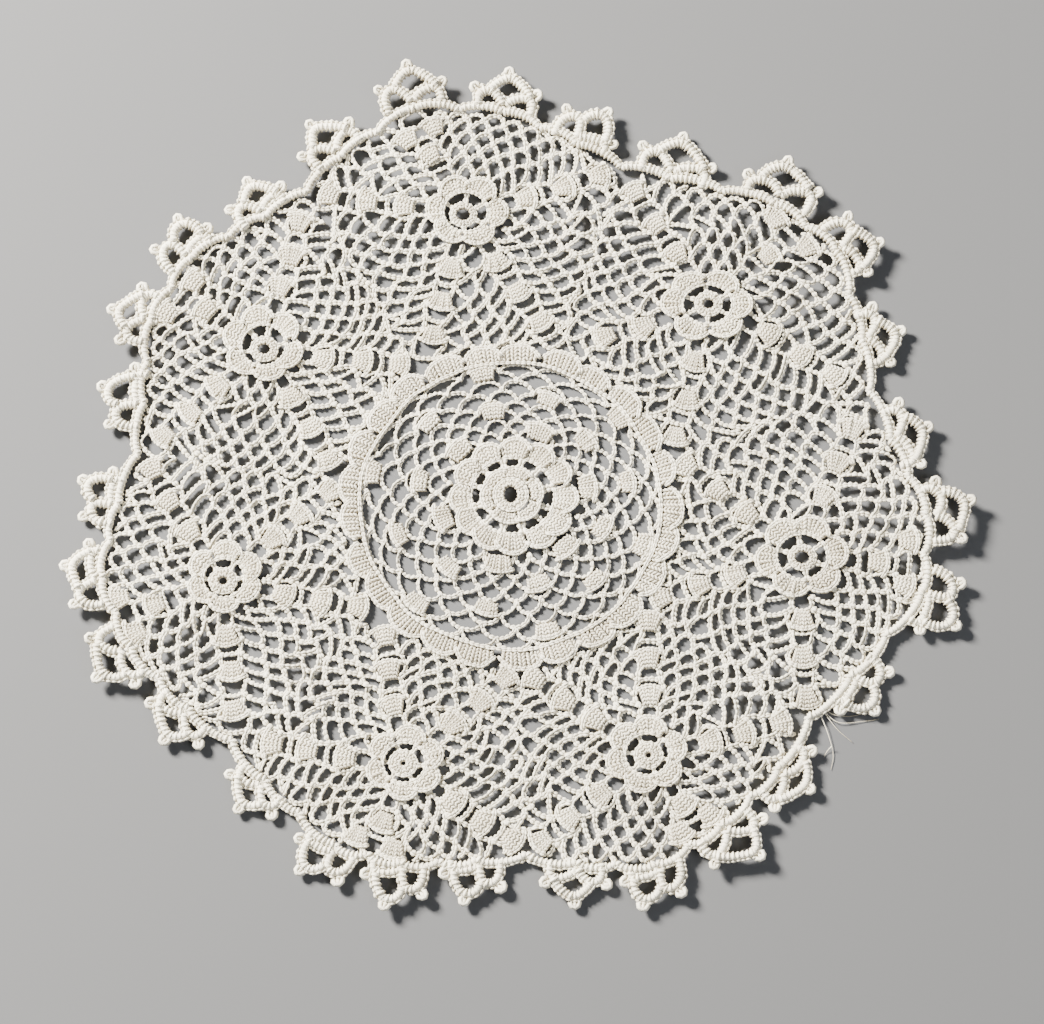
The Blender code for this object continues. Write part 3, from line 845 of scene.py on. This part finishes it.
def outer_medallion(index, material):
    net, raised = Work(), Work()
    outline = Outline(index)
    rose = outline.rose
    small_rose(raised, rose, LOOKS[index])
    turn, tops = TOP_ARMS[index]
    facings = [direction(rose, side[0]) for side in outline.sides]
    facings[TOP_ARM] = ROSES[index].angle + turn
    strands = []
    for number, facing in enumerate(facings):
        onward = facings[(number + 1) % len(facings)]
        strands.append(wedge(net, outline, number, facing, turn_between(facing, onward)))
    for number, facing in enumerate(facings):
        roots = [outline.distance(1, facing) + outline.row * (row - 1) for row in SHELL_STARTS]
        shells = [(out, 0.0, 0.0) for out in roots if out + SHELL_REACH < outline.reach(facing)]
        past = 3 * len(shells)  # each shell takes up three rounds
        crossings = [row for row in range(ROWS) if row in CROSSINGS or row > past]
        if number == TOP_ARM:
            shells, crossings = [(out, aside, -1.2 * aside) for out, aside in tops], range(ROWS)
        before, after = strands[number - 1][1], strands[number][0]
        arm(net, raised, rose, facing, before, after, shells, crossings)
    return finish_medallion(ROSES[index].name, net, raised, material)


CENTRE_BARS = 24  # arches in each round of the centre net
CENTRE_RADII = (20.6, 24.4, 27.7, 30.9, 34.1, 37.3, 40.7, 43.6, BAND_IN)
# The round that each ring of shells starts from, and their reach and widths at the root and the top
CENTRE_SHELLS = ((0, 5.4, 6.2, 8.8), (2, 4.7, 5.8, 7.9), (4, 4.3, 5.8, 7.6), (6, 4.7, 6.0, 8.2))
SHELL_EVERY = 4  # arches from one shell of a ring to the next
FIRST_SHELL = 72.0  # angle of the first of them


def centre_place(row, angle):
    """A place on a round of the centre net, whose arches have spread more on one side."""
    share = row / (len(CENTRE_RADII) - 1)
    spread = 2.2 - 4.4 * math.cos(math.radians(angle - 30))
    around = np.interp(row, range(len(CENTRE_RADII)), CENTRE_RADII) * turned(angle + spread)
    middle = (HEART_ROSE + 1.7) * (1 - share) + HEART * share
    return middle + around.real * (0.965 + 0.035 * share) + 1j * around.imag * (0.92 + 0.08 * share)


def centre_net(work, raised):
    """Rounds of arches. The two that would meet where a shell stands only come up to its top."""
    step = 360 / CENTRE_BARS
    shelled = {row: row % SHELL_EVERY for row, *_ in CENTRE_SHELLS}
    for row in range(len(CENTRE_RADII) - 1):
        for number in range(CENTRE_BARS):
            angle = FIRST_SHELL - step * (number + (row + 1) % 2 / 2)
            start, end = (uneven(centre_place(row, angle + step / 2 * hand)) for hand in (1, -1))
            apex = uneven(centre_place(row + 1, angle))
            path = arch(start, apex, end, 0.04 + random.normal(0, 0.03))
            half = len(path) // 2
            starts = row not in shelled or number % SHELL_EVERY != shelled[row]
            ends = row not in shelled or (number + 1) % SHELL_EVERY != shelled[row]
            path = path if starts and ends else path[half:] if ends else path[: half + 1]
            work.net_chain(path, starts, ends, CENTRE_NET_WIDE)
            work.knot(apex, turned(angle - 90))
    for row, reach, narrow, broad in CENTRE_SHELLS:
        for number in range(CENTRE_BARS // SHELL_EVERY):
            angle = FIRST_SHELL - step * (SHELL_EVERY * number + shelled[row])
            root = uneven(centre_place(row, angle))
            facing = direction(HEART_ROSE, root) + random.normal(0, 3)
            root = root + 0.5 * turned(facing)
            shell(raised, root, facing, reach, narrow, broad, height=1.15)


def centre_rose(work):
    """A ring of posts, six petals around it and twelve around those."""

    def spot(angle, distance):
        around = distance * turned(angle)
        return HEART_ROSE + 0.7 + distance / 20 + 0.965 * around.real + 0.92j * around.imag

    ring_of_posts(work, HEART_ROSE + 0.8, (2.1, 2.8), (5.1, 5.2), posts=28, height=3.0, slope=-0.12)
    for number in range(6):
        facing = 13 + 60 * number + random.normal(0, 3)
        work.chain([spot(facing + 30, out) for out in (4.9, 6.9)], height=2.2, wide=1.5)
        petal(work, spot, facing, INNER_PETALS)
    for number in range(12):
        facing = 30 * number + random.normal(0, 2)
        bar = facing + 15 + random.normal(0, 2)
        path = [spot(bar, 9.6), spot(bar, 13.8)]
        work.chain(path, height=1.35, wide=random.uniform(1.7, 2.5))
        petal(work, spot, facing, OUTER_PETALS)
        work.chain(spot(facing - np.linspace(-15, 15, 7), 13.5), height=1.85, wide=1.1)


SCALLOP_STITCHES = 10
SCALLOP_TILT = 0.30  # how much higher the right side of each lies than its middle


def band(work):
    """The chain around the centre net, and the filled scallops worked on it."""
    step = 360 / SCALLOPS
    ring = uneven(polar(HEART, np.linspace(0, -360, 145), BAND_IN + 0.2))
    work.chain(ring, height=1.7, wide=1.15)
    for scallop in range(SCALLOPS):
        facing = -step * (scallop + random.normal(0, 0.05))
        broad, out = step / 2 * random.normal(1.0, 0.03), BAND_OUT + random.normal(0.1, 0.25)

        def lobed(share):
            notched = out - BAND_NOTCH * np.abs(share) ** 3
            return uneven(polar(HEART, facing - broad * share, notched))

        share, rim = spaced(SCALLOP_STITCHES), np.linspace(-1.04, 1.04, 11)
        start = uneven(polar(HEART, facing - step / 2 * 0.94 * share, BAND_IN + 0.9))
        varied = random.normal(0, HEIGHTS_VARY, SCALLOP_STITCHES)
        work.fan(start, lobed(share), 1.3 + SCALLOP_TILT * share + varied, slope=0.03, wide=1.22)
        work.follow(CHAIN_STITCH, lobed(rim), 1.6 + SCALLOP_TILT * rim, RIM_CHAIN, wide=1.25)


def centre_medallion(material):
    net, raised = Work(), Work()
    centre_net(net, raised)
    centre_rose(raised)
    band(raised)
    return finish_medallion("centre_medallion", net, raised, material)


def crown(work, index):
    """Three filled arches, each over the one before, and a picot on top of each."""
    form, sway = CROWNS[index].form, CROWNS[index].sway
    thick = CORD * (1 + CORD_THICKER * math.sin(math.radians(CROWNS[index].angle)))

    def spot(across, up):
        return crown_point(index, across + sway * smooth((up - 0.3) * 2), up)

    for name, height, lower in ARCH_HEIGHTS:
        path = curved([spot(*place) for place in getattr(form, name)])
        work.cord(path, height - lower * np.sin(np.linspace(0, np.pi, len(path))), thick)
    for across, up, facing in form.picots:
        facing = turned(crown_facing(index, up) + facing - 90)
        at = spot(across, up) + PICOT_OUT * facing
        wide, rise = random.normal(1.3, 0.06), random.normal(0.05, 0.08)
        work.add(PICOT, at, facing, PICOT_UP, PICOT_LONG, wide, rise=rise)


def edging(material):
    """The cord along the edge, with an arch to either side of a crown's foot, the crowns and the
    loose fibres. Returns the piece and the cord's length in millimetres."""
    work, length = Work(), 0.0
    for half in range(2 * len(CROWNS)):
        start, end = edge_knot(half, -EDGE_PINCH), edge_knot(half + 1, -EDGE_PINCH)
        apex = (start + end) / 2 + 1j * (end - start) / abs(end - start) * EDGE_RISE
        path = arch(start, apex, end, 0.1)
        thick = np.linspace(1, EDGE_THIN, len(path))[:: -1 if half % 2 else 1]
        work.cord(path, EDGE_UP, CORD * thick)
        length += path_length(path)
    for index in range(len(CROWNS)):
        crown(work, index)
    for fibre in FRAYED:
        path = curved([complex(*place) for place in fibre])
        held = np.linspace(1, 0, len(path))
        height = 0.25 + (lift(path) + 1.0) * held**2  # its tip lies on the table
        stations = np.stack([path.real, path.imag, height, 0.07 + 0.08 * held], axis=-1)
        work.place(stitch(tube(stations)))
    return work.finish("edging_crochet", "edging", material), length


# -------------------- cotton


def plain_material(name):
    material = bpy.data.materials.new(name)
    material.use_nodes = True
    return material, material.node_tree.nodes["Principled BSDF"]


def cotton(name, light, deep):
    """Matt cotton, in shades between a deep and a light colour, with a twisted ply as fine bump."""
    material, surface = plain_material(name)
    nodes, links = material.node_tree.nodes, material.node_tree.links
    surface.inputs["Roughness"].default_value = 0.82
    surface.inputs["Sheen Weight"].default_value = 0.25
    surface.inputs["Sheen Roughness"].default_value = 0.4
    surface.inputs["Specular IOR Level"].default_value = 0.25

    def node(kind, **values):
        made = nodes.new(kind)
        for key, value in values.items():
            setattr(made, key, value)
        return made

    def maths(operation, *values):
        made = node("ShaderNodeMath", operation=operation)
        for socket, value in zip(made.inputs, values):
            if isinstance(value, (int, float)):
                socket.default_value = value
            else:
                links.new(value, socket)
        return made.outputs[0]

    place = node("ShaderNodeTexCoord").outputs["Object"]
    # The tone holds painted shade, darker low in each stitch, on cores, under cords and on tall
    # stitches, and a random difference from stitch to stitch
    tone = node("ShaderNodeAttribute", attribute_name="tone").outputs["Fac"]

    def noise(scale, detail):
        made = node("ShaderNodeTexNoise")
        made.inputs["Scale"].default_value = scale
        made.inputs["Detail"].default_value = detail
        links.new(place, made.inputs["Vector"])
        return made.outputs["Fac"]

    blotch, fibre = noise(scale=35.0, detail=3.0), noise(scale=2600.0, detail=2.0)
    # The tone is changed by up to 0.25 either way in blotches, and by half as much in fuzz
    level = maths("ADD", tone, maths("MULTIPLY_ADD", blotch, 0.5, -0.25))
    level = maths("ADD", level, maths("MULTIPLY", maths("SUBTRACT", fibre, 0.5), 0.25))
    ramp = node("ShaderNodeValToRGB")
    ramp.color_ramp.elements[0].position = 0.35
    ramp.color_ramp.elements[0].color = (*deep, 1)
    ramp.color_ramp.elements[1].position = 1.05
    ramp.color_ramp.elements[1].color = (*light, 1)
    links.new(level, ramp.inputs["Fac"])
    links.new(ramp.outputs["Color"], surface.inputs["Base Color"])

    thread = node("ShaderNodeUVMap", uv_map="thread").outputs["UV"]
    split = node("ShaderNodeSeparateXYZ")
    links.new(thread, split.inputs["Vector"])
    # Two plies, which wind around the thread 2.1 times in a millimetre
    turns = maths("MULTIPLY", split.outputs["X"], 2.1)
    turns = maths("ADD", turns, split.outputs["Y"])
    ply = maths("SINE", maths("MULTIPLY", turns, 4 * math.pi))
    relief = maths("ADD", maths("MULTIPLY", ply, 0.5), maths("MULTIPLY", fibre, 1.2))
    bump = node("ShaderNodeBump")
    bump.inputs["Strength"].default_value = 0.8
    bump.inputs["Distance"].default_value = 0.00006
    links.new(relief, bump.inputs["Height"])
    links.new(bump.outputs["Normal"], surface.inputs["Normal"])
    return material


# -------------------- camera, light and floor

# In metres
ELEVATION = 72.0  # degrees
AWAY = 0.9
LOOK_AT = Vector((0.00051, -0.01375, 0.0))
SEEN_HALF = 0.1606  # half the width that the camera sees there
FLOOR_HALF = 15.0


def aimed(name, data, place, heading):
    made = shown(name, data)
    made.location = place
    made.rotation_mode = "QUATERNION"
    made.rotation_quaternion = heading.to_track_quat("-Z", "Y")
    return made


def camera():
    data = bpy.data.cameras.new("camera")
    data.sensor_width = 36.0
    data.lens = data.sensor_width / 2 * AWAY / SEEN_HALF
    data.clip_start, data.clip_end = 0.01, 60.0
    tilt = math.radians(ELEVATION)
    back = Vector((0.0, -math.cos(tilt), math.sin(tilt)))
    bpy.context.scene.camera = aimed("camera", data, LOOK_AT + back * AWAY, -back)


def lamp(name, place, size, watts, colour):
    data = bpy.data.lights.new(name, "AREA")
    data.shape = "DISK"
    data.size = size
    data.energy = watts
    data.color = colour
    aimed(name, data, place, -Vector(place))


def studio():
    world = bpy.data.worlds.new("studio")
    world.use_nodes = True
    sky = world.node_tree.nodes["Background"]
    sky.inputs["Color"].default_value = (0.93, 0.96, 1.0, 1.0)
    sky.inputs["Strength"].default_value = 0.2
    bpy.context.scene.world = world
    lamp("key", (-0.95, 0.65, 0.75), size=0.35, watts=184.0, colour=(1.0, 0.95, 0.87))
    lamp("fill", (0.9, -0.7, 1.0), size=0.9, watts=12.0, colour=(0.95, 0.97, 1.0))
    mesh = bpy.data.meshes.new("floor")
    corners = [(x * FLOOR_HALF, y * FLOOR_HALF, 0) for x, y in ((-1, -1), (1, -1), (1, 1), (-1, 1))]
    mesh.from_pydata(corners, [], [(0, 1, 2, 3)])
    material, surface = plain_material("floor")
    surface.inputs["Base Color"].default_value = (0.098, 0.101, 0.106, 1.0)
    surface.inputs["Roughness"].default_value = 0.9
    mesh.materials.append(material)
    floor = shown("floor", mesh)


# -------------------- the scene

camera()
studio()
# Each cotton's second colour is the deep end of its shades, reached mostly where shade is painted
# in recesses
medallion_cotton = cotton("medallion_cotton", (0.94, 0.896, 0.745), (0.36, 0.31, 0.22))
centre_cotton = cotton("centre_cotton", (0.95, 0.906, 0.765), (0.37, 0.32, 0.23))
edging_cotton = cotton("edging_cotton", (0.93, 0.886, 0.735), (0.35, 0.30, 0.21))

# The centre's net is a ring, from its rose to the band
size = (2 * BAND_IN / 1000,) * 2
area = math.pi * (BAND_IN**2 - CENTRE_RADII[0] ** 2) / 1e6
medallions = [(centre_medallion(centre_cotton), "centre_cotton", size, area)]
for index in range(len(ROSES)):
    around = np.concatenate(medallion_sides(index)) / 1000
    size = (float(np.ptp(around.real)), float(np.ptp(around.imag)))
    medallions.append((outer_medallion(index, medallion_cotton), "medallion_cotton", size, None))
border, border_length = edging(edging_cotton)
